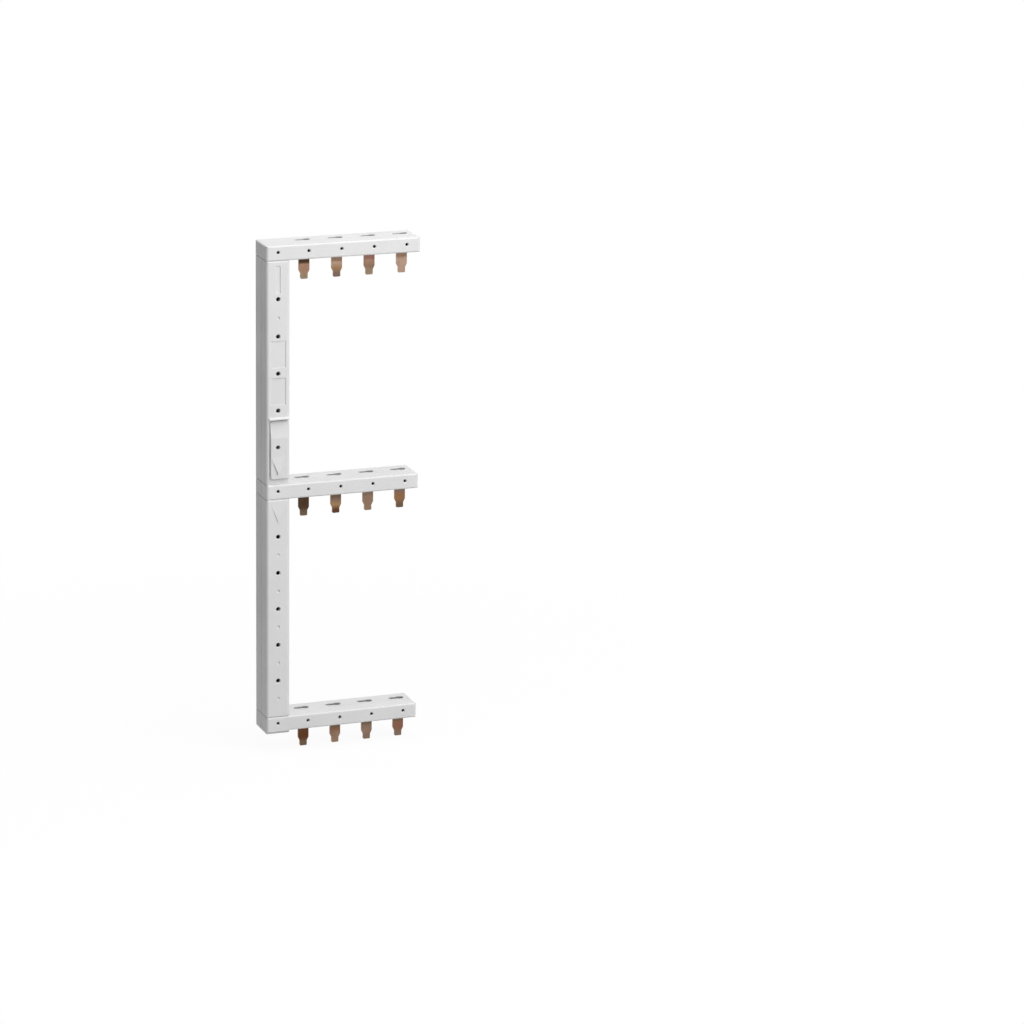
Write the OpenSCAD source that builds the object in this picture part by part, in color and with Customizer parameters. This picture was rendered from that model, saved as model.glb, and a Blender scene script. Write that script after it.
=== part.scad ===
// Comb busbar for three rows of four-pole devices: an insulated spine of
// four copper risers, and an arm in each row that brings every pole out
// as a flat blade below the arm.
// Origin: the middle row's first blade, where it leaves the arm's underside.
// X runs along the arms, Y from the front to the rear, Z up.

/* [Rows and poles] */
// Distance between two rows of devices
row_pitch = 125; // [100:0.5:200]
// Distance between two poles of a row, one module
pole_pitch = 17.5; // [16:0.1:27]
// From the spine's right side to the first blade
first_pole = 10; // [7.5:0.1:20]
// From the last blade to the arm's free end
end_margin = 7.4; // [6.5:0.1:20]

/* [Housing] */
// Width of the spine
spine_w = 12.7; // [12.5:0.1:18]
// Depth of the front shells, from the parting plane
front_d = 8.5; // [8:0.1:12]
// Depth of the rear shells, from the parting plane
rear_d = 10.5; // [10.2:0.1:14]
// Height of an arm and of its block on the spine
arm_h = 7.8; // [7.6:0.1:12]
// How far the bottom block reaches below its arm
foot_drop = 1.4; // [0.6:0.1:4]
// Bevel along the foot of the bottom block's front
foot_bevel = 1.4; // [0.5:0.1:1.6]
// Wall of every shell
wall = 1.3; // [1.1:0.05:1.4]
// Rounding of the shells' edges along the arms and across them
edge_r = 0.8; // [0.4:0.05:1]
// Rounding of the shells' upright edges
corner_r = 1.5; // [0.8:0.1:1.8]
// Width of the shadow gap between a front and a rear shell
seam_w = 0.3; // [0.1:0.05:0.5]
// Depth of that gap
seam_d = 0.15; // [0.05:0.05:0.3]
// How far the lip of a front shell reaches into the rear one
lip_l = 0.8; // [0.5:0.1:1]
// How far the casings' spigots reach into the blocks
spigot_l = 1.4; // [0.8:0.1:1.5]
// Thickness of a spigot
spigot_t = 0.6; // [0.4:0.1:0.7]
// Thickness of the barriers and ribs inside
rib_t = 0.8; // [0.6:0.1:1]

/* [Spine casings] */
// Diameter of the round holes along the spine
spine_hole_d = 2.2; // [1:0.1:3]
// Distance between those holes
spine_hole_pitch = 19.4; // [15:0.1:20]
// Bevel round the mouth of every round hole
mouth_bevel = 0.25; // [0.1:0.05:0.4]
// Diameter of the dimples between the holes
dimple_d = 1.6; // [0.8:0.1:2.5]
// Depth of the dimples
dimple_depth = 0.3; // [0.1:0.05:0.6]
// Width of the sunk fields between the holes
field_w = 8; // [4:0.1:9]
// Height of those fields
field_h = 14; // [8:0.1:16]
// Width of the sunk strip at the top of the upper casing
strip_w = 2.2; // [1:0.1:4]
// Depth of the fields and the strip
field_depth = 0.25; // [0.1:0.05:0.5]
// Half the width of the arrow marks
arrow_half_w = 3.9; // [2:0.1:4.5]
// Height of the arrow marks
arrow_h = 9.4; // [5:0.1:10]
// How far the tip of the lower casing's arrow stands proud
arrow_rise = 0.4; // [0.1:0.05:0.5]
// From the lower casing's top to its arrow
arrow_margin = 2.6; // [1:0.1:5]

/* [Window and access plate] */
// Height of the window at the foot of the upper casing
window_h = 34.5; // [30:0.1:40]
// How far the access plate lies below the casing's face
window_d = 0.1; // [0:0.05:0.5]
// Width of the rim left of the window
rim_w = 1.3; // [1.2:0.1:3]
// Thickness of the access plate
plate_t = 2; // [1.8:0.1:2.3]
// Thickness of the window's floor, behind the plate
floor_t = 0.9; // [0.6:0.1:1]
// Groove between the rim and the plate
groove_w = 1.2; // [0.3:0.1:2]
// Gap above the plate
plate_gap_top = 1.1; // [0.3:0.1:3]
// Gap below the plate
plate_gap_bottom = 3.3; // [0.3:0.1:5]
// Diameter of the pegs that hold the plate
peg_d = 1.6; // [1:0.1:2]
// Height of the scoop at the plate's head
scoop_h = 8.6; // [4:0.1:10]
// Depth of the scoop at its head
scoop_d = 1.5; // [0.5:0.1:1.6]
// How far the tip of the plate's arrow stands proud
plate_arrow_rise = 0.9; // [0.1:0.05:1]
// From the plate's foot to the tip of its arrow
plate_arrow_margin = 2.4; // [0.5:0.1:3]

/* [Arms] */
// Diameter of the small holes in an arm's front
arm_hole_d = 1.6; // [0.8:0.1:2.5]
// Height of those holes above the arm's underside
arm_hole_up = 4.3; // [3.5:0.1:5]
// Diameter of the round end of a keyhole pocket
key_d = 4.6; // [3.4:0.1:4.8]
// Width of the pocket's slot
key_slot_w = 3.4; // [1:0.1:3.4]
// Length of the slot, from the round end's centre
key_slot_l = 6; // [3:0.1:6.5]
// From the pole's centre to the round end's centre
key_shift = 1.9; // [1.5:0.1:3]
// From the parting plane to the pocket's centre line
key_y = 3.7; // [3.5:0.1:4]
// Depth of the round end
key_depth = 1.6; // [1.3:0.1:1.8]
// Depth of the slot
key_slot_depth = 0.9; // [0.6:0.1:1.2]
// Floor left under the pocket
key_floor = 0.7; // [0.5:0.1:0.8]
// From the arm's top down to the plug in the pocket
plug_sink = 0.45; // [0.1:0.05:0.7]

/* [Conductors] */
// Thickness of all copper strip
copper_t = 1.3; // [1:0.05:1.4]
// Width of a riser
riser_w = 8; // [6:0.1:8.4]
// Height of the rail that runs along the arm
rail_h = 1.9; // [1.2:0.1:2]
// Height of the rail's foot, where it is riveted to its riser
rail_foot_h = 3.6; // [2.4:0.1:3.8]
// Width of a blade
blade_w = 5.6; // [4:0.1:8]
// Width of a blade's tip
tip_w = 3.7; // [2:0.1:4]
// From the arm's underside to the end of the full width
shoulder_l = 7.2; // [4:0.1:12]
// Length of the taper between shoulder and tip
taper_l = 1.9; // [0.5:0.1:4]
// Length of the tip
tip_l = 2.8; // [1:0.1:6]
// Lead-in bevel at the end of a tip
tip_bevel = 0.4; // [0.1:0.05:0.5]
// Diameter of the rivets
rivet_d = 1.6; // [1:0.1:2]
// Diameter of the rivets' heads
rivet_head_d = 2.5; // [2.1:0.1:3]
// Height of the rivets' heads
rivet_head_t = 0.3; // [0.2:0.05:0.35]

/* [Clearances] */
// Play between parts that slide into each other
play = 0.15; // [0.05:0.01:0.2]
// Play of a blade in its slot, on each side
slot_play = 0.2; // [0.1:0.01:0.4]
// Play of a rivet in its hole, on each side
rivet_play = 0.05; // [0.02:0.01:0.1]
// Play of a plug in its pocket, on each side
plug_play = 0.05; // [0.02:0.01:0.1]
// From a rail or a tab to the shell above or below it
lift = 0.1; // [0.05:0.01:0.2]

/* [Hidden] */

$fn = 48;
eps = 0.01;
over = 1;               // how far a cut runs past the face that it opens
poles = 4;
top = 1;                // the rows, counted from the middle one
middle = 0;
bottom = -1;

shell_colour = "#e4e4e2";
plate_colour = "#dededd";
copper_colour = "#b5795a";
separator_colour = "#3b3d40";
rivet_colour = "#c9ccd0";
plug_colour = "#5d5f62";

// Spine and arms along X
spine_x0 = -first_pole - spine_w;
spine_x1 = -first_pole;
spine_cx = (spine_x0 + spine_x1) / 2;
arm_x1 = (poles - 1) * pole_pitch + end_margin;
function pole_x(k) = (k - 1) * pole_pitch;

// Housing along Y
front_y = -front_d;
rear_y = rear_d;
front_in = front_y + wall;
rear_in = rear_y - wall;

// The stack of copper: each pole's rail lies in front of its riser, the
// second pole's rail in the plane of the blades, the last riser at the rear wall
stack_pitch = (rear_in - play - rivet_head_t - 1.5 * copper_t) / 2;
function rail_y(k) = (k - 2) * stack_pitch;
function riser_y(k) = rail_y(k) + copper_t;
stack_front = rail_y(1) - copper_t / 2;
riser_front = riser_y(1) - copper_t / 2;

// Levels inside an arm, from its underside
floor_z = wall;
roof_z = arm_h - wall;
tab_z0 = floor_z + lift;
tab_z1 = tab_z0 + copper_t;
key_pad_z = arm_h - key_depth - key_floor;
rail_z1 = key_pad_z - 2 * lift;
rail_z0 = rail_z1 - rail_h;
rail_cz = (rail_z0 + rail_z1) / 2;

// Casings along Z, between the arms
casing_l = row_pitch - arm_h;
upper_z0 = arm_h;
lower_z0 = arm_h - row_pitch;

// The opening that lets the risers through a block's roof or floor
riser_gap = 0.6;
opening_front = riser_front - riser_gap;

// The window at the foot of the upper casing
plate_face = front_y + window_d;
plate_back = plate_face + plate_t;
floor_in = plate_back + floor_t;
window_z1 = upper_z0 + window_h;

spine_holes = 5;
blade_drop = shoulder_l + taper_l + tip_l;

// A rectangle with rounded corners, its lower left corner at the origin
module rounded_rect(w, h, r) {
    translate([r, 0]) square([w - 2 * r, h]);
    translate([0, r]) square([w, h - 2 * r]);
    for (x = [r, w - r], y = [r, h - r])
        translate([x, y]) circle(r);
}

// A box from one corner to the other
module box(a, b) {
    translate(a) cube(b - a);
}

// A profile drawn in X and Z, made solid from y0 to y1
module along_y(y0, y1) {
    translate([0, y1, 0]) rotate([90, 0, 0]) linear_extrude(y1 - y0) children();
}

// A profile drawn in Y and Z, made solid from x0 to x1
module along_x(x0, x1) {
    translate([x0, 0, 0]) rotate([90, 0, 90]) linear_extrude(x1 - x0) children();
}

// A box of the housing, rounded on all its edges, by corner_r on the upright ones
module rounded_box(a, b, r) {
    s = b - a;
    intersection() {
        translate(a) linear_extrude(s.z) rounded_rect(s.x, s.y, corner_r);
        along_x(a.x, b.x) translate([a.y, a.z]) rounded_rect(s.y, s.z, r);
        along_y(a.y, b.y) translate([a.x, a.z]) rounded_rect(s.x, s.z, r);
    }
}

// The shadow gap round a box of the housing, at the parting plane. It reaches
// far enough out to meet the gap of a box beside it.
module seam_cut(a, b, reach = over) {
    s = b - a;
    difference() {
        box([a.x - reach, -seam_w / 2, a.z - reach], [b.x + reach, seam_w / 2, b.z + reach]);
        along_y(-seam_w, seam_w) translate([a.x + seam_d, a.z + seam_d])
            rounded_rect(s.x - 2 * seam_d, s.z - 2 * seam_d, edge_r);
    }
}

// A round hole along Y with a bevelled mouth at front_y, as deep as depth_y
module mouthed_hole(x, z, d, depth_y) {
    translate([x, depth_y, z]) rotate([90, 0, 0])
        cylinder(h = depth_y - front_y + over, d = d);
    translate([x, front_y + mouth_bevel, z]) rotate([90, 0, 0])
        cylinder(h = mouth_bevel + over, d1 = d, d2 = d + 2 * (mouth_bevel + over));
}

// What lies in front of the parting plane, or behind it
module front_half() {
    intersection() {
        children();
        box([spine_x0 - over, front_y - over, -row_pitch - over * 10],
            [arm_x1 + over, 0, row_pitch + arm_h + over]);
    }
}
module rear_half() {
    intersection() {
        children();
        box([spine_x0 - over, 0, -row_pitch - over * 10],
            [arm_x1 + over, rear_y + over, row_pitch + arm_h + over]);
    }
}

// ---- Rows: a block on the spine and the arm beside it ----

// The outer form of a row, its arm's underside at z = 0
module row_body(row) {
    rounded_box([spine_x0, front_y, 0], [arm_x1, rear_y, arm_h], edge_r);
    if (row == bottom)
        rounded_box([spine_x0, front_y, -foot_drop], [spine_x1, rear_y, arm_h], edge_r);
}

// The shadow gap round a row; the bottom block's goes round its foot too
module row_seam(row) {
    if (row == bottom)
        intersection() {
            seam_cut([spine_x0, 0, 0], [arm_x1, 0, arm_h], foot_drop + over);
            seam_cut([spine_x0, 0, -foot_drop], [spine_x1, 0, arm_h], arm_x1 - spine_x0);
        }
    else
        seam_cut([spine_x0, 0, 0], [arm_x1, 0, arm_h]);
}

// What the bevel along the foot of the bottom block takes away
module foot_bevel_cut() {
    reach = foot_bevel + over;
    along_x(spine_x0 - over, spine_x1) translate([front_y, -foot_drop])
        polygon([[-over, -over], [reach, -over], [-over, reach]]);
}

// The hollow of a row, drawn in X and Z and grown by g on every side
module row_hollow(row, g = 0) {
    z0 = row == bottom ? -foot_drop : 0;
    translate([spine_x0 + wall - g, floor_z - g])
        square([arm_x1 - spine_x0 - 2 * wall + 2 * g, roof_z - floor_z + 2 * g]);
    if (row == bottom)
        translate([spine_x0 + wall - g, z0 + wall - g])
            square([spine_w - 2 * wall + 2 * g, arm_h - z0 - 2 * wall + 2 * g]);
}

// The way of the risers through the blocks, drawn in X and Z
module riser_way(row, g = 0) {
    z0 = row == bottom ? roof_z : -over;
    z1 = row == top ? floor_z : arm_h + over;
    translate([spine_x0 + wall - g, z0]) square([spine_w - 2 * wall + 2 * g, z1 - z0]);
}

// The slots for the blades, through the floor of an arm
module blade_slots() {
    for (k = [1:poles])
        box([pole_x(k) - blade_w / 2 - slot_play, -copper_t / 2 - slot_play, -over],
            [pole_x(k) + blade_w / 2 + slot_play, copper_t / 2 + slot_play, floor_z + eps]);
}

// The lip between two shells, drawn in X and Z
module row_lip(row, inner, outer) {
    difference() {
        intersection() {
            union() {
                row_hollow(row, outer);
                riser_way(row, outer);
            }
            translate([spine_x0, row == bottom ? -foot_drop : 0])
                square([arm_x1 - spine_x0, arm_h + (row == bottom ? foot_drop : 0)]);
        }
        row_hollow(row, inner);
        riser_way(row, inner);
    }
}

module row_front_shell(row) {
    translate([0, 0, row * row_pitch])
    difference() {
        union() {
            difference() {
                front_half() row_body(row);
                row_seam(row);
                along_y(front_in, over) row_hollow(row);
                along_y(opening_front, over) riser_way(row);
            }
            // barrier between the first two rails
            box([spine_x1, -stack_pitch / 2 - rib_t / 2, rail_z0],
                [arm_x1 - wall + eps, -stack_pitch / 2 + rib_t / 2, roof_z + eps]);
            // lip that goes into the rear shell
            along_y(-eps, lip_l) row_lip(row, 0, wall / 2 - play);
        }
        blade_slots();
        if (row == bottom)
            foot_bevel_cut();
        for (x = concat([spine_cx], [for (k = [1:poles]) pole_x(k)]))
            mouthed_hole(x, arm_hole_up, arm_hole_d, front_in + eps);
    }
}

// A keyhole up to z1, less g on every side: a deep round end and a shallower
// slot to its left
module keyhole(z1, g = 0) {
    w = key_slot_w - 2 * g;
    x0 = -key_slot_l + g;
    translate([key_shift, key_y, arm_h - key_depth])
        cylinder(h = z1 - arm_h + key_depth, d = key_d - 2 * g);
    translate([key_shift, key_y, arm_h - key_slot_depth]) linear_extrude(z1 - arm_h + key_slot_depth) {
        translate([x0 + w / 2, -w / 2]) square([-x0 - w / 2, w]);
        translate([x0 + w / 2, 0]) circle(d = w);
    }
}

module row_rear_shell(row) {
    pad = key_d / 2 + key_floor;
    translate([0, 0, row * row_pitch])
    difference() {
        union() {
            difference() {
                rear_half() row_body(row);
                row_seam(row);
                along_y(-over, rear_in) row_hollow(row);
                along_y(-over, rear_in) riser_way(row);
            }
            // barriers between the second, the third and the fourth rail
            for (k = [2:poles - 1])
                box([spine_x1, rail_y(k) + stack_pitch / 2 - rib_t / 2, rail_z0],
                    [arm_x1 - wall + eps, rail_y(k) + stack_pitch / 2 + rib_t / 2, roof_z + eps]);
            // pads that give the keyhole pockets their floor
            for (k = [1:poles])
                box([pole_x(k) + key_shift - pad, key_y - pad, key_pad_z],
                    [pole_x(k) + key_shift + pad, key_y + pad, roof_z + eps]);
        }
        along_y(-over, lip_l + play) row_lip(row, -eps, wall / 2);
        blade_slots();
        for (k = [1:poles])
            translate([pole_x(k), 0, 0]) keyhole(arm_h + over);
    }
}

// The plugs in the keyhole pockets of an arm
module plugs(row) {
    color(plug_colour)
    for (k = [1:poles])
        translate([pole_x(k), 0, row * row_pitch]) keyhole(arm_h - plug_sink, plug_play);
}

module top_front_shell() { color(shell_colour) row_front_shell(top); }
module middle_front_shell() { color(shell_colour) row_front_shell(middle); }
module bottom_front_shell() { color(shell_colour) row_front_shell(bottom); }
module top_rear_shell() { color(shell_colour) row_rear_shell(top); }
module middle_rear_shell() { color(shell_colour) row_rear_shell(middle); }
module bottom_rear_shell() { color(shell_colour) row_rear_shell(bottom); }

// ---- Spine casings, between two blocks ----

// The inside of a casing, between its side walls
module casing_hollow(z0, y0, y1, g = 0) {
    box([spine_x0 + wall - g, y0, z0 - over], [spine_x1 - wall + g, y1, z0 + casing_l + over]);
}

// The shadow gap down both sides of a casing
module casing_seam(z0) {
    seam_cut([spine_x0, 0, z0 - over], [spine_x1, 0, z0 + casing_l + over]);
}

// The two spigots at each end of a casing's half
module spigots(z0, y0, y1) {
    for (side = [-1, 1], end = [0, 1]) {
        x_in = spine_cx + side * (spine_w / 2 - wall - play - spigot_t);
        x_root = spine_cx + side * (spine_w / 2 - wall + eps);
        x_out = spine_cx + side * (spine_w / 2 - wall - play);
        z_end = z0 + end * casing_l;
        out = end == 1 ? 1 : -1;
        box([min(x_in, x_out), y0, min(z_end + out * spigot_l, z_end - out * play)],
            [max(x_in, x_out), y1, max(z_end + out * spigot_l, z_end - out * play)]);
        box([min(x_in, x_root), y0, min(z_end - out * play, z_end - out * spigot_l)],
            [max(x_in, x_root), y1, max(z_end - out * play, z_end - out * spigot_l)]);
    }
}

// The two ribs that press the front riser back
module casing_ribs(z0, z1, y0) {
    for (side = [-1, 1])
        box([spine_cx + side * riser_w / 4 - rib_t / 2, y0, z0],
            [spine_cx + side * riser_w / 4 + rib_t / 2, riser_front - play, z1]);
}

// The round holes of a casing, and the dimples named by their places
module spine_hole_cuts(z0, depth_y) {
    for (i = [0:spine_holes - 1])
        mouthed_hole(spine_cx, z0 + casing_l / 2 + (i - (spine_holes - 1) / 2) * spine_hole_pitch,
                     spine_hole_d, depth_y);
}
module dimples(z0, places) {
    for (i = places)
        translate([spine_cx, front_y + dimple_depth, z0 + casing_l / 2 + (i - spine_holes / 2) * spine_hole_pitch])
            rotate([90, 0, 0]) cylinder(h = dimple_depth + over, d = dimple_d);
}

// A sunk field on the casing's face, about its centre
module sunk_field(z, w, h) {
    box([spine_cx - w / 2, front_y - over, z - h / 2], [spine_cx + w / 2, front_y + field_depth, z + h / 2]);
}

// An arrow that points down, level with the face at y above and proud of it at
// its tip
module arrow_mark(z, y, rise) {
    intersection() {
        along_y(y - rise, y + eps)
            polygon([[spine_cx - arrow_half_w, z], [spine_cx + arrow_half_w, z], [spine_cx, z - arrow_h]]);
        along_x(spine_cx - arrow_half_w, spine_cx + arrow_half_w)
            polygon([[y, z], [y + eps, z], [y + eps, z - arrow_h], [y - rise, z - arrow_h]]);
    }
}

module casing_front(z0) {
    difference() {
        front_half() rounded_box([spine_x0, front_y, z0], [spine_x1, rear_y, z0 + casing_l], edge_r);
        casing_seam(z0);
        casing_hollow(z0, front_in, over);
    }
    spigots(z0, opening_front + play, -play);
    for (side = [-1, 1])
        mirror_to(side)
            box([spine_x0 + wall / 2 + play, -eps, z0], [spine_x0 + wall, lip_l, z0 + casing_l]);
}

// One side of the spine, or the other
module mirror_to(side) {
    if (side < 0)
        children();
    else
        translate([2 * spine_cx, 0, 0]) mirror([1, 0, 0]) children();
}

module casing_rear(z0) {
    difference() {
        rear_half() rounded_box([spine_x0, front_y, z0], [spine_x1, rear_y, z0 + casing_l], edge_r);
        casing_seam(z0);
        casing_hollow(z0, -over, rear_in);
        casing_hollow(z0, -over, lip_l + play, wall / 2);
    }
    spigots(z0, lip_l + 2 * play, rear_in - play);
}

// The upper front casing, with the window for the access plate at its foot
module upper_casing_front() {
    hole_z = upper_z0 + casing_l / 2;
    color(shell_colour)
    difference() {
        union() {
            casing_front(upper_z0);
            casing_ribs(window_z1, upper_z0 + casing_l, front_in - eps);
            casing_ribs(upper_z0, window_z1 + eps, floor_in - eps);
            // floor of the window and the step above it
            box([spine_x0 + wall / 2, plate_back, upper_z0],
                [spine_x1 - wall / 2, floor_in, window_z1 + wall]);
            box([spine_x0 + wall / 2, front_in - eps, window_z1],
                [spine_x1 - wall / 2, floor_in, window_z1 + wall]);
        }
        box([spine_x0 + rim_w, front_y - over, upper_z0 - over], [spine_x1 + over, plate_back, window_z1]);
        spine_hole_cuts(upper_z0, floor_in + eps);
        dimples(upper_z0, [spine_holes - 1]);
        for (i = [0.5, -0.5])
            sunk_field(hole_z + (i + 0.02) * spine_hole_pitch, field_w, field_h);
        sunk_field(hole_z + (spine_holes + 0.05) / 2 * spine_hole_pitch, strip_w, field_h);
        plate_pegs(peg_d + 2 * play, floor_t + over);
    }
}

// The lower front casing, plain but for its holes, dimples and arrow
module lower_casing_front() {
    color(shell_colour)
    difference() {
        union() {
            casing_front(lower_z0);
            casing_ribs(lower_z0, lower_z0 + casing_l, front_in - eps);
            arrow_mark(lower_z0 + casing_l - arrow_margin, front_y, arrow_rise);
        }
        spine_hole_cuts(lower_z0, front_in + eps);
        dimples(lower_z0, [0:spine_holes - 1]);
    }
}

module upper_casing_rear() { color(shell_colour) casing_rear(upper_z0); }
module lower_casing_rear() { color(shell_colour) casing_rear(lower_z0); }

// The pegs behind the access plate, or the holes that take them
module plate_pegs(d, l) {
    for (z = [upper_z0 + plate_gap_bottom + peg_d * 1.5, window_z1 - plate_gap_top - peg_d * 1.5])
        translate([spine_cx, plate_back + l, z]) rotate([90, 0, 0]) cylinder(h = l + eps, d = d);
}

// The plate in the window, with a scoop at its head, a hole and an arrow
module access_plate() {
    z0 = upper_z0 + plate_gap_bottom;
    z1 = window_z1 - plate_gap_top;
    x0 = spine_x0 + rim_w + groove_w;
    color(plate_colour)
    difference() {
        union() {
            intersection() {
                along_y(plate_face, plate_back)
                    translate([x0, z0]) rounded_rect(spine_x1 - x0, z1 - z0, edge_r);
                translate([spine_x0, plate_face, z0])
                    linear_extrude(z1 - z0) rounded_rect(spine_w, front_d + rear_d, corner_r);
            }
            arrow_mark(z0 + arrow_h + plate_arrow_margin, plate_face, plate_arrow_rise);
            plate_pegs(peg_d, floor_t - play);
        }
        spine_hole_cuts(upper_z0, plate_back + eps);
        // the scoop, a ramp that goes deeper towards the plate's head
        along_x(x0 - over, spine_x1 + over) translate([plate_face, z1])
            polygon([[-over, over], [scoop_d, over], [scoop_d, 0], [0, -scoop_h], [-over, -scoop_h]]);
    }
}

// ---- Copper and what keeps it apart ----

// One riser, through all three blocks
module riser(k) {
    z0 = -row_pitch - foot_drop + wall + 2 * lift;
    z1 = row_pitch + roof_z - 2 * lift;
    color(copper_colour)
    difference() {
        box([spine_cx - riser_w / 2, riser_y(k) - copper_t / 2, z0],
            [spine_cx + riser_w / 2, riser_y(k) + copper_t / 2, z1]);
        for (row = [bottom:top])
            translate([spine_cx, 0, row * row_pitch + rail_cz]) rotate([90, 0, 0])
                cylinder(h = 4 * stack_pitch + 4 * copper_t, d = rivet_d + 2 * rivet_play, center = true);
    }
}

// The insulating plate between riser k and the next, over one casing
module separator(z0, k) {
    inset = spigot_l + play;
    color(separator_colour)
    box([spine_x0 + wall + play, riser_y(k) + copper_t / 2 + play / 2, z0 + inset],
        [spine_x1 - wall - play, riser_y(k + 1) - copper_t / 2 - play / 2, z0 + casing_l - inset]);
}

// The bent strip of a pole in Y and Z: blade, bend, tab, bend and leg
module strip_profile(k) {
    t = copper_t;
    y = rail_y(k);
    s = sign(y);
    if (s == 0) {
        translate([-t / 2, -blade_drop]) square([t, blade_drop + rail_z1]);
    } else {
        translate([-t / 2, -blade_drop]) square([t, blade_drop + tab_z0 + eps]);
        intersection() {
            translate([s * t / 2, tab_z0]) circle(t);
            translate([s > 0 ? -t / 2 : -t / 2 - eps, tab_z0]) square([t + eps, t]);
        }
        translate([min(s * t / 2, y - s * t / 2), tab_z0]) square([abs(y) - t, t]);
        intersection() {
            translate([y - s * t / 2, tab_z1]) circle(t);
            translate([s > 0 ? y - t / 2 - eps : y - t / 2, tab_z0]) square([t + eps, t]);
        }
        translate([y - t / 2, tab_z1 - eps]) square([t, rail_z1 - tab_z1 + eps]);
    }
}

// The outline of a blade and its leg in X and Z
module blade_outline() {
    w = blade_w / 2;
    n = tip_w / 2;
    z1 = -shoulder_l;
    z2 = z1 - taper_l;
    z3 = -blade_drop;
    polygon([[-w, rail_z1 + eps], [w, rail_z1 + eps], [w, z1], [n, z2], [n, z3 + tip_bevel],
             [n - tip_bevel, z3], [tip_bevel - n, z3], [-n, z3 + tip_bevel], [-n, z2], [-w, z1]]);
}

// A pole's branch: the rail, riveted to the riser, and its blade
module blade(row, k) {
    color(copper_colour)
    translate([0, 0, row * row_pitch])
    difference() {
        union() {
            translate([pole_x(k), 0, 0]) intersection() {
                along_x(-blade_w / 2, blade_w / 2) strip_profile(k);
                along_y(stack_front - over, rail_y(poles) + copper_t) blade_outline();
            }
            box([spine_cx - riser_w / 2, rail_y(k) - copper_t / 2, rail_z0],
                [pole_x(k) - blade_w / 2 + eps, rail_y(k) + copper_t / 2, rail_z1]);
            box([spine_cx - riser_w / 2, rail_y(k) - copper_t / 2, rail_cz - rail_foot_h / 2],
                [spine_cx + riser_w / 2, rail_y(k) + copper_t / 2, rail_cz + rail_foot_h / 2]);
        }
        translate([spine_cx, rail_y(k), rail_cz]) rotate([90, 0, 0])
            cylinder(h = copper_t + over, d = rivet_d + 2 * rivet_play, center = true);
        // lead-in bevels on both faces of the tip
        for (side = [-1, 1])
            translate([pole_x(k), side * copper_t / 2, -blade_drop]) rotate([45, 0, 0])
                cube([blade_w + over, tip_bevel * sqrt(2) * 0.7, tip_bevel * sqrt(2) * 0.7], center = true);
    }
}

// The rivets of a row, one through each rail and its riser
module rivets(row) {
    color(rivet_colour)
    for (k = [1:poles])
        translate([spine_cx, rail_y(k) - copper_t / 2, row * row_pitch + rail_cz])
            rotate([-90, 0, 0]) {
                cylinder(h = 2 * copper_t, d = rivet_d);
                translate([0, 0, -rivet_head_t]) cylinder(h = rivet_head_t, d = rivet_head_d);
                translate([0, 0, 2 * copper_t]) cylinder(h = rivet_head_t, d = rivet_head_d);
            }
}

top_front_shell();
middle_front_shell();
bottom_front_shell();
top_rear_shell();
middle_rear_shell();
bottom_rear_shell();
upper_casing_front();
lower_casing_front();
upper_casing_rear();
lower_casing_rear();
access_plate();
plugs(top);  // top_plugs
plugs(middle);  // middle_plugs
plugs(bottom);  // bottom_plugs
riser(1);  // riser_1
riser(2);  // riser_2
riser(3);  // riser_3
riser(4);  // riser_4
separator(upper_z0, 1);  // upper_separator_1
separator(upper_z0, 2);  // upper_separator_2
separator(upper_z0, 3);  // upper_separator_3
separator(lower_z0, 1);  // lower_separator_1
separator(lower_z0, 2);  // lower_separator_2
separator(lower_z0, 3);  // lower_separator_3
blade(top, 1);  // top_blade_1
blade(top, 2);  // top_blade_2
blade(top, 3);  // top_blade_3
blade(top, 4);  // top_blade_4
blade(middle, 1);  // middle_blade_1
blade(middle, 2);  // middle_blade_2
blade(middle, 3);  // middle_blade_3
blade(middle, 4);  // middle_blade_4
blade(bottom, 1);  // bottom_blade_1
blade(bottom, 2);  // bottom_blade_2
blade(bottom, 3);  // bottom_blade_3
blade(bottom, 4);  // bottom_blade_4
rivets(top);  // top_rivets
rivets(middle);  // middle_rivets
rivets(bottom);  // bottom_rivets
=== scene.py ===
from math import pi
import bpy
from mathutils import Matrix, Vector


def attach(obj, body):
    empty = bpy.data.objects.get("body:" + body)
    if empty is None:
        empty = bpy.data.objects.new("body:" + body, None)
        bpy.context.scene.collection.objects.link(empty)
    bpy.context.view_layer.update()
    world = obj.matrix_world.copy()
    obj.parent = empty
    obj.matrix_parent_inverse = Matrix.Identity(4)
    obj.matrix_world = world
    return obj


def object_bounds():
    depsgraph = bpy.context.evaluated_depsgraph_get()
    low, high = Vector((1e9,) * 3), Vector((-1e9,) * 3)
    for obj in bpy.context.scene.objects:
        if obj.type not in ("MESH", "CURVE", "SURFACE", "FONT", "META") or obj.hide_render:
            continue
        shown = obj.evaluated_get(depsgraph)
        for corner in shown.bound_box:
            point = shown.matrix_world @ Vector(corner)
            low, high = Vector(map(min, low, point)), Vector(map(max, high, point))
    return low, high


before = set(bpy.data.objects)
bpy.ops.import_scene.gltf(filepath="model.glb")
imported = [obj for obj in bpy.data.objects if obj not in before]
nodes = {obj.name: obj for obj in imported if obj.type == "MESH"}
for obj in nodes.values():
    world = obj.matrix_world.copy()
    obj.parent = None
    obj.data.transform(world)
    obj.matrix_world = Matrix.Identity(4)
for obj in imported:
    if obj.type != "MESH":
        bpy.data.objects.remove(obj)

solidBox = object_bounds()
print("frame:", len(nodes), "nodes")

bevelSamples = 6
edgeTurn = (0.02, 0.3)  # how far a normal has to turn before a face counts as an edge


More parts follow.
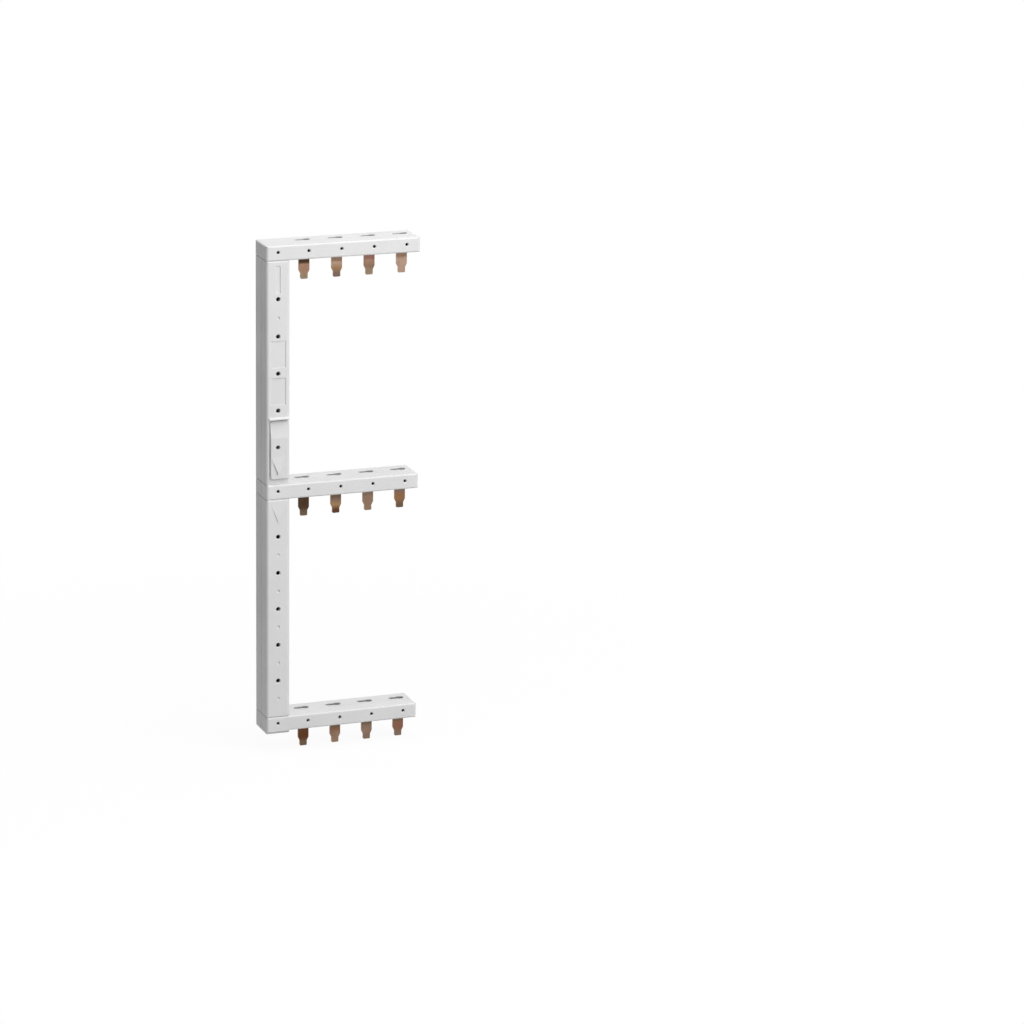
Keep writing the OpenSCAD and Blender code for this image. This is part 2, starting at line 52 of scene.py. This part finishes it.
class Link:  # one output of a shader node, so that shader maths reads as sums
    def __init__(self, finish, socket):
        self.finish = finish
        self.socket = socket

    def maths(self, operation, first, second):
        return self.finish.node("ShaderNodeMath", {"operation": operation}, {0: first, 1: second})

    def __add__(self, other):
        return self.maths("ADD", self, other)

    def __radd__(self, other):
        return self.maths("ADD", other, self)

    def __sub__(self, other):
        return self.maths("SUBTRACT", self, other)

    def __rsub__(self, other):
        return self.maths("SUBTRACT", other, self)

    def __mul__(self, other):
        return self.maths("MULTIPLY", self, other)

    def __rmul__(self, other):
        return self.maths("MULTIPLY", other, self)


class Finish:  # one material, or the world, and the nodes it is made of
    def __init__(self, owner):
        owner.use_nodes = True
        self.owner = owner
        self.tree = owner.node_tree
        self.tree.nodes.clear()

    def node(self, kind, settings=None, sockets=None, output=0):
        made = self.tree.nodes.new(kind)
        for name, value in (settings or {}).items():
            if name == "stops":  # of a colour ramp: (place, colour) from left to right
                for stop in list(made.color_ramp.elements)[1:]:
                    made.color_ramp.elements.remove(stop)
                for number, (place, colour) in enumerate(value):
                    stop = made.color_ramp.elements.new(place) if number else made.color_ramp.elements[0]
                    stop.position = place
                    stop.color = colour
            else:
                setattr(made, name, value)
        for key, value in (sockets or {}).items():
            if isinstance(key, int):
                socket = made.inputs[key]
            else:
                socket = next(s for s in made.inputs if key in (s.identifier, s.name))
            if isinstance(value, Link):
                self.tree.links.new(value.socket, socket)
            else:
                socket.default_value = value
        if not made.outputs:
            return None
        if isinstance(output, str):
            return Link(self, next(s for s in made.outputs if output in (s.identifier, s.name)))
        return Link(self, made.outputs[output])

    def place(self, scale=(1, 1, 1)):  # where the surface lies on the object, in metres, stretched by scale
        place = self.node("ShaderNodeTexCoord", output="Object")
        return self.node("ShaderNodeVectorMath", {"operation": "MULTIPLY"}, {0: place, 1: scale})

    def noise(self, where, scale, detail=2.0, harshness=0.5):  # harshness: how strong the finest detail is
        return self.node("ShaderNodeTexNoise", {},
                         {"Vector": where, "Scale": scale, "Detail": detail, "Roughness": harshness})

    def remap(self, value, low, high, newLow=0.0, newHigh=1.0):  # clamped
        return self.node("ShaderNodeMapRange", {"clamp": True},
                         {"Value": value, "From Min": low, "From Max": high,
                          "To Min": newLow, "To Max": newHigh})

    def blend(self, factor, first, second):  # of two colours
        return self.node("ShaderNodeMix", {"data_type": "RGBA"},
                         {"Factor_Float": factor, "A_Color": first, "B_Color": second}, "Result_Color")

    def softNormal(self, radius):  # the normal, rounded over sharp edges
        return self.node("ShaderNodeBevel", {"samples": bevelSamples}, {"Radius": radius})

    def edges(self, softNormal):  # 0 on a flat face, more on an edge
        flat = self.node("ShaderNodeNewGeometry", output="Normal")
        same = self.node("ShaderNodeVectorMath", {"operation": "DOT_PRODUCT"},
                         {0: softNormal, 1: flat}, "Value")
        return self.remap(1 - same, *edgeTurn)

    def bump(self, height, distance, normal):
        return self.node("ShaderNodeBump", {}, {"Height": height, "Distance": distance, "Normal": normal})

    def surface(self, sockets):
        self.close(self.node("ShaderNodeBsdfPrincipled", {}, sockets))

    def close(self, shader):
        ofWorld = isinstance(self.owner, bpy.types.World)
        kind = "ShaderNodeOutputWorld" if ofWorld else "ShaderNodeOutputMaterial"
        self.node(kind, {}, {"Surface": shader})


def linear(red, green, blue):  # a screen colour from 0 to 255, by the sRGB curve, as the shaders take it
    parts = []
    for part in (red / 255, green / 255, blue / 255):
        parts.append(part / 12.92 if part <= 0.04045 else ((part + 0.055) / 1.055) ** 2.4)
    return (*parts, 1.0)


def newFinish(name):
    return Finish(bpy.data.materials.new(name))


# The light grey moulding of the shells and casings: a fine spark-eroded grain, faint clouds where the melt
# cooled, edges that are a little smoother, and a painted highlight that blends the edges' colour lighter.
shellPlastic = {
    "colour": (229, 229, 229),
    "cloudColour": (222, 222, 222),
    # painted highlight: the lighter colour blended onto the edges
    "paintedEdgeHighlight": (236, 236, 236),
    "cloudSize": 0.030,
    "cloudDetail": 3.0,
    "cloudRange": (0.35, 0.65),  # of the noise, from no cloud to full cloud
    "cloudShare": 0.6,  # of the mottling; the grain has the rest
    "grainSize": 0.00045,
    "grainDetail": 3.0,
    "grainHarshness": 0.6,
    "grainDepth": 0.000012,
    "wornShare": 0.5,  # of the clouds in the roughness; the grain has the rest
    "wornRange": (0.2, 0.8),
    "roughness": (0.40, 0.50),
    "edgeRadius": 0.00035,
    # how much of the painted edge highlight is blended in
    "paintedHighlightShare": 0.6,
    "edgePolish": 0.3,
    "ior": 1.49,
    "shine": 0.35,
}

# The access plate is a shade darker and smoother
platePlastic = dict(shellPlastic, colour=(225, 225, 225), cloudColour=(219, 219, 219),
                    roughness=(0.36, 0.46))

# The plugs in the keyhole pockets, coloured dark grey as painted shade: their colour stands in for the
# shadow deep in the holes
plugPaintedShade = dict(shellPlastic, colour=(112, 113, 115), cloudColour=(100, 101, 103),
                   paintedEdgeHighlight=(130, 131, 132), roughness=(0.50, 0.62))


def mouldedPlastic(name, look):
    finish = newFinish(name)
    where = finish.place()
    cloud = finish.noise(where, 1 / look["cloudSize"], look["cloudDetail"])
    cloud = finish.remap(cloud, *look["cloudRange"])
    grain = finish.noise(where, 1 / look["grainSize"], look["grainDetail"], look["grainHarshness"])
    soft = finish.softNormal(look["edgeRadius"])
    edge = finish.edges(soft)
    mottle = cloud * look["cloudShare"] + grain * (1 - look["cloudShare"])
    colour = finish.blend(mottle, linear(*look["colour"]), linear(*look["cloudColour"]))
    # Painted highlight: the edges are blended towards a lighter colour
    colour = finish.blend(edge * look["paintedHighlightShare"], colour, linear(*look["paintedEdgeHighlight"]))
    worn = cloud * look["wornShare"] + grain * (1 - look["wornShare"]) - edge * look["edgePolish"]
    rough = finish.remap(worn, *look["wornRange"], *look["roughness"])
    finish.surface({"Base Color": colour, "Roughness": rough, "IOR": look["ior"],
                    "Specular IOR Level": look["shine"],
                    "Normal": finish.bump(grain, look["grainDepth"], soft)})
    return finish.owner


# The rolled copper of the blades and risers: fine lines along the strip, small
# blotches, sheared edges painted brighter as a highlight, and tints that change
# from the root of a blade to its tip, which are painted reflections and painted shade.
stripCopper = {
    "blotchColour": (120, 92, 72),
    "blotchShare": 0.30,
    "blotchSize": 0.0022,
    "blotchDetail": 4.0,
    "blotchHarshness": 0.6,
    "blotchMetal": 0.8,  # how metallic a blotch still is
    "brownShare": 0.7,  # of the blotches in the browning; the lines have the rest
    "brownRange": (0.45, 0.7),
    "lineWidth": 0.00018,
    "lineLength": 0.012,
    "lineDepth": 0.000006,
    "waver": 0.0012,  # of the line between two tints
    "wornShare": 0.6,  # of the blotches in the roughness; the lines have the rest
    "wornRange": (0.3, 0.7),
    "roughness": (0.30, 0.46),
    # painted highlight: the lighter colour blended onto the sheared edges
    "paintedEdgeHighlight": (206, 172, 150),
    "edgeRadius": 0.00018,
    "paintedHighlightShare": 0.5,
}

# The colours of the blade tints, most of them painted reflections and painted shade
copperTints = {
    "pale": (188, 158, 138),
    "salmon": (174, 135, 113),
    "ochre": (168, 132, 98),
    "olive": (160, 139, 113),
    "rose": (148, 107, 97),
    "tan": (149, 120, 101),
    "orange": (149, 109, 79),
    "grey": (131, 109, 95),
    "rust": (136, 97, 77),
    "walnut": (112, 92, 73),
    "umber": (97, 62, 38),
    "dark": (76, 57, 41),
}

# The tints of each blade, at its tip, its waist, its middle and its root. They are painted reflections and
# painted shade: the dark blades stand for reflections of something dark, the dark roots for the shade under
# the arms.
bladePaintedLightTints = {
    "top_blade_1": ("olive", "salmon", "salmon", "dark"),
    "top_blade_2": ("grey", "ochre", "pale", "tan"),
    "top_blade_3": ("olive", "tan", "salmon", "rose"),
    "top_blade_4": ("pale", "pale", "pale", "tan"),
    "middle_blade_1": ("walnut", "dark", "dark", "dark"),
    "middle_blade_2": ("umber", "ochre", "grey", "walnut"),
    "middle_blade_3": ("tan", "tan", "tan", "grey"),
    "middle_blade_4": ("walnut", "orange", "orange", "grey"),
    "bottom_blade_1": ("walnut", "umber", "umber", "umber"),
    "bottom_blade_2": ("tan", "tan", "rust", "walnut"),
    "bottom_blade_3": ("grey", "tan", "grey", "walnut"),
    "bottom_blade_4": ("grey", "rust", "rust", "walnut"),
}
tintHeights = (0.0020, 0.0046, 0.0075, 0.0086)  # above the tip


def rolledCopper(name, look, tints, tipZ):
    finish = newFinish(name)
    stretch = (1 / look["lineWidth"], 1 / look["lineWidth"], 1 / look["lineLength"])
    lines = finish.noise(finish.place(stretch), 1.0)
    blotch = finish.noise(finish.place(), 1 / look["blotchSize"], look["blotchDetail"],
                          look["blotchHarshness"])
    # Painted reflections and painted shade, laid along the blade by height above its tip
    height = finish.node("ShaderNodeSeparateXYZ", {}, {0: finish.place()}, "Z") - tipZ
    height = height + (blotch - 0.5) * look["waver"]
    top = tintHeights[-1]
    stops = [(up / top, linear(*copperTints[tint])) for up, tint in zip(tintHeights, tints)]
    ramp = finish.node("ShaderNodeValToRGB", {"stops": stops}, {0: finish.remap(height, 0.0, top)}, "Color")
    soft = finish.softNormal(look["edgeRadius"])
    edge = finish.edges(soft)
    brown = blotch * look["brownShare"] + lines * (1 - look["brownShare"])
    brown = finish.remap(brown, *look["brownRange"], 0.0, look["blotchShare"])
    colour = finish.blend(brown, ramp, linear(*look["blotchColour"]))
    # Painted highlight: the edges are blended towards a lighter copper
    colour = finish.blend(edge * look["paintedHighlightShare"], colour, linear(*look["paintedEdgeHighlight"]))
    metal = finish.remap(brown, 0.0, 1.0, 1.0, look["blotchMetal"])
    worn = blotch * look["wornShare"] + lines * (1 - look["wornShare"])
    rough = finish.remap(worn, *look["wornRange"], *look["roughness"])
    finish.surface({"Base Color": colour, "Metallic": metal, "Roughness": rough,
                    "Normal": finish.bump(lines, look["lineDepth"], soft)})
    return finish.owner


# The pressed board between the risers
pressedBoard = {
    "colour": (62, 64, 67),
    "fibreColour": (92, 93, 94),
    "fibreSize": 0.0009,
    "fibreDetail": 5.0,
    "fibreHarshness": 0.65,
    "fibreDepth": 0.00004,
    "fibreSquash": (1, 1, 0.25),
    "paleRange": (0.4, 0.7),
    "wornRange": (0.3, 0.7),
    "roughness": (0.62, 0.80),
    "edgeRadius": 0.0001,
}


def fibreBoard(name, look):
    finish = newFinish(name)
    where = finish.place(look["fibreSquash"])
    fibre = finish.noise(where, 1 / look["fibreSize"], look["fibreDetail"], look["fibreHarshness"])
    pale = finish.remap(fibre, *look["paleRange"])
    soft = finish.softNormal(look["edgeRadius"])
    finish.surface({"Base Color": finish.blend(pale, linear(*look["colour"]), linear(*look["fibreColour"])),
                    "Roughness": finish.remap(fibre, *look["wornRange"], *look["roughness"]),
                    "Normal": finish.bump(fibre, look["fibreDepth"], soft)})
    return finish.owner


# The tinned rivets
tinnedRivet = {
    "colour": (205, 207, 210),
    "dullColour": (150, 152, 156),
    "patchSize": 0.0012,
    "patchDetail": 4.0,
    "patchHarshness": 0.6,
    "patchDepth": 0.000008,
    "dullRange": (0.4, 0.7),
    "wornRange": (0.3, 0.7),
    "roughness": (0.22, 0.42),
    "edgeRadius": 0.0001,
}


def tinPlate(name, look):
    finish = newFinish(name)
    patch = finish.noise(finish.place(), 1 / look["patchSize"], look["patchDetail"], look["patchHarshness"])
    dull = finish.remap(patch, *look["dullRange"])
    soft = finish.softNormal(look["edgeRadius"])
    finish.surface({"Base Color": finish.blend(dull, linear(*look["colour"]), linear(*look["dullColour"])),
                    "Roughness": finish.remap(patch, *look["wornRange"], *look["roughness"]),
                    "Metallic": 1.0,
                    "Normal": finish.bump(patch, look["patchDepth"], soft)})
    return finish.owner


def dress(names, material):
    for name in names:
        mesh = nodes[name].data
        mesh.materials.clear()
        mesh.materials.append(material)


shellNames = [name for name in nodes if name.endswith("_shell") or "_casing_" in name]
shellFinish = mouldedPlastic("shell_plastic", shellPlastic)
dress(shellNames, shellFinish)
dress(["access_plate"], mouldedPlastic("plate_plastic", platePlastic))

for name, tints in bladePaintedLightTints.items():
    tipZ = min(vertex.co.z for vertex in nodes[name].data.vertices)
    dress([name], rolledCopper("copper_" + name, stripCopper, tints, tipZ))
dress([name for name in nodes if name.startswith("riser_")],
      rolledCopper("copper_risers", stripCopper, ("tan",) * len(tintHeights), 0.0))
dress([name for name in nodes if "_separator_" in name], fibreBoard("separator_board", pressedBoard))
dress([name for name in nodes if name.endswith("_rivets")], tinPlate("rivet_tin", tinnedRivet))
# The plugs' dark colour is painted shade for the deep keyholes
dress([name for name in nodes if name.endswith("_plugs")], mouldedPlastic("plug_painted_shade", plugPaintedShade))
print("finishes:", len(bpy.data.materials))

# The ledge over the window in the upper casing: a short moulded bar with a
# sloped top, sunk a little into the casing's face
windowLedge = {
    "depth": 0.0008,
    "height": 0.0015,
    "faceHeight": 0.0005,
    "sunk": 0.0003,
    "headGap": 0.0011,  # from the access plate up to the head of the window
    "leftReach": 0.0011,  # past the plate's left side, over the groove
    "rightMargin": 0.0004,
    "rounding": 0.0002,
    "roundingSteps": 3,
}


def boxOf(name):  # the lowest and the highest corner of a solid
    points = [vertex.co for vertex in nodes[name].data.vertices]
    return [Vector(end(point[axis] for point in points) for axis in range(3)) for end in (min, max)]


def addPiece(name, corners, faces):
    mesh = bpy.data.meshes.new(name)
    mesh.from_pydata(corners, [], faces)
    piece = bpy.data.objects.new(name, mesh)
    bpy.context.scene.collection.objects.link(piece)
    return piece


def makePrism(name, profile, left, right):  # a profile in the YZ plane, drawn out along X
    count = len(profile)
    corners = [(x, y, z) for x in (left, right) for y, z in profile]
    sides = [(i, (i + 1) % count, (i + 1) % count + count, i + count) for i in range(count)]
    ends = [tuple(reversed(range(count))), tuple(range(count, 2 * count))]
    return addPiece(name, corners, sides + ends)


def makeWindowLedge(look, material):
    plate = boxOf("access_plate")
    casing = boxOf("upper_casing_front")
    front = casing[0].y
    head = plate[1].z + look["headGap"]
    proud = front - look["depth"]
    root = front + look["sunk"]
    top = head + look["height"]
    profile = [(root, top), (front, top), (proud, head + look["faceHeight"]), (proud, head), (root, head)]
    left = plate[0].x - look["leftReach"]
    right = casing[1].x - look["rightMargin"]
    piece = makePrism("window_ledge", profile, left, right)
    soften = piece.modifiers.new("soften", "BEVEL")
    soften.width = look["rounding"]
    soften.segments = look["roundingSteps"]
    piece.data.materials.append(material)
    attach(piece, "root")


makeWindowLedge(windowLedge, shellFinish)
print("window ledge")

pureWhite = (1, 1, 1, 1)

# The floor, just under the lowest blades. It looks white to the camera and in
# reflections, keeps a soft part of the object's shadow, and throws little light
# back up.
floor = {
    "gap": 0.0005,
    "half": 9.0,
    "seenColour": (250, 250, 250),
    "thrownColour": (180, 180, 180),
    "shadowShare": 0.06,
    "shadowReach": (0.10, 0.40),
}


def seenRay(finish):  # 1 for a ray from the camera or off a polished surface
    rays = [finish.node("ShaderNodeLightPath", output=kind)
            for kind in ("Is Camera Ray", "Is Glossy Ray", "Is Transmission Ray")]
    return rays[0].maths("MINIMUM", rays[0] + rays[1] + rays[2], 1.0)


def makeFloor(look):
    lowest = solidBox[0].z - look["gap"]
    centre = (solidBox[0] + solidBox[1]) / 2
    half = look["half"]
    corners = [(-half, -half), (half, -half), (half, half), (-half, half)]
    plane = addPiece("floor", [(centre.x + x, centre.y + y, lowest) for x, y in corners], [(0, 1, 2, 3)])
    finish = newFinish("floor_paper")
    away = finish.node("ShaderNodeVectorMath", {"operation": "DISTANCE"},
                       {0: finish.place(), 1: (centre.x, centre.y, lowest)}, "Value")
    share = finish.remap(away, *look["shadowReach"], look["shadowShare"], 0.0)
    thrown = finish.node("ShaderNodeBsdfDiffuse", {}, {"Color": linear(*look["thrownColour"])})
    paper = finish.node("ShaderNodeBsdfDiffuse", {}, {"Color": linear(*look["seenColour"])})
    white = finish.node("ShaderNodeEmission", {}, {"Color": pureWhite, "Strength": 1.0})
    shown = finish.node("ShaderNodeMixShader", {}, {0: share, 1: white, 2: paper})
    finish.close(finish.node("ShaderNodeMixShader", {}, {0: seenRay(finish), 1: thrown, 2: shown}))
    plane.data.materials.append(finish.owner)


makeFloor(floor)

# A white room whose light on the object is dimmer than it looks
room = {"light": 0.194}


def makeRoom(look):
    world = bpy.data.worlds.new("room")
    bpy.context.scene.world = world
    finish = Finish(world)
    dim = finish.node("ShaderNodeBackground", {}, {"Color": pureWhite, "Strength": look["light"]})
    white = finish.node("ShaderNodeBackground", {}, {"Color": pureWhite, "Strength": 1.0})
    finish.close(finish.node("ShaderNodeMixShader", {}, {0: seenRay(finish), 1: dim, 2: white}))


makeRoom(room)

# Two softboxes: a large one close by, above and to the right of the front, and
# a wide one high overhead
softboxes = {
    "front_softbox": {"place": (0.30, -0.62, 0.57), "size": 1.00, "power": 8.7},
    "overhead_softbox": {"place": (0.02, -0.10, 3.00), "size": 2.00, "power": 33.0},
}


def makeSoftbox(name, look):
    middle = (solidBox[0] + solidBox[1]) / 2
    lamp = bpy.data.lights.new(name, "AREA")
    lamp.shape = "SQUARE"
    lamp.size = look["size"]
    lamp.energy = look["power"]
    holder = bpy.data.objects.new(name, lamp)
    bpy.context.scene.collection.objects.link(holder)
    away = (Vector(look["place"]) - middle).normalized()
    holder.location = look["place"]
    holder.rotation_mode = "QUATERNION"
    holder.rotation_quaternion = away.to_track_quat("Z", "Y")
    holder.visible_camera = False
    holder.visible_glossy = False


for name, look in softboxes.items():
    makeSoftbox(name, look)

# The camera stands to the left of the front and a little above, on a long lens
camera = {
    "place": (-0.67143, -2.04596, 0.58951),
    "yaw": 0.3671270,
    "pitch": 0.2711700,
    "roll": 0.0151073,
    "lens": 152.02,
    "sensor": 36.0,
    "nearest": 0.05,
    "farthest": 100,
}


def makeCamera(look):
    data = bpy.data.cameras.new("camera")
    data.lens = look["lens"]
    data.sensor_width = look["sensor"]
    data.clip_start = look["nearest"]
    data.clip_end = look["farthest"]
    holder = bpy.data.objects.new("camera", data)
    bpy.context.scene.collection.objects.link(holder)
    turn = (Matrix.Rotation(-look["yaw"], 4, "Z") @ Matrix.Rotation(-look["pitch"], 4, "X")
            @ Matrix.Rotation(-look["roll"], 4, "Y") @ Matrix.Rotation(pi / 2, 4, "X"))
    holder.matrix_world = Matrix.Translation(look["place"]) @ turn
    bpy.context.scene.camera = holder


makeCamera(camera)
bpy.context.scene.view_settings.view_transform = "Standard"
print("stage, light and camera")
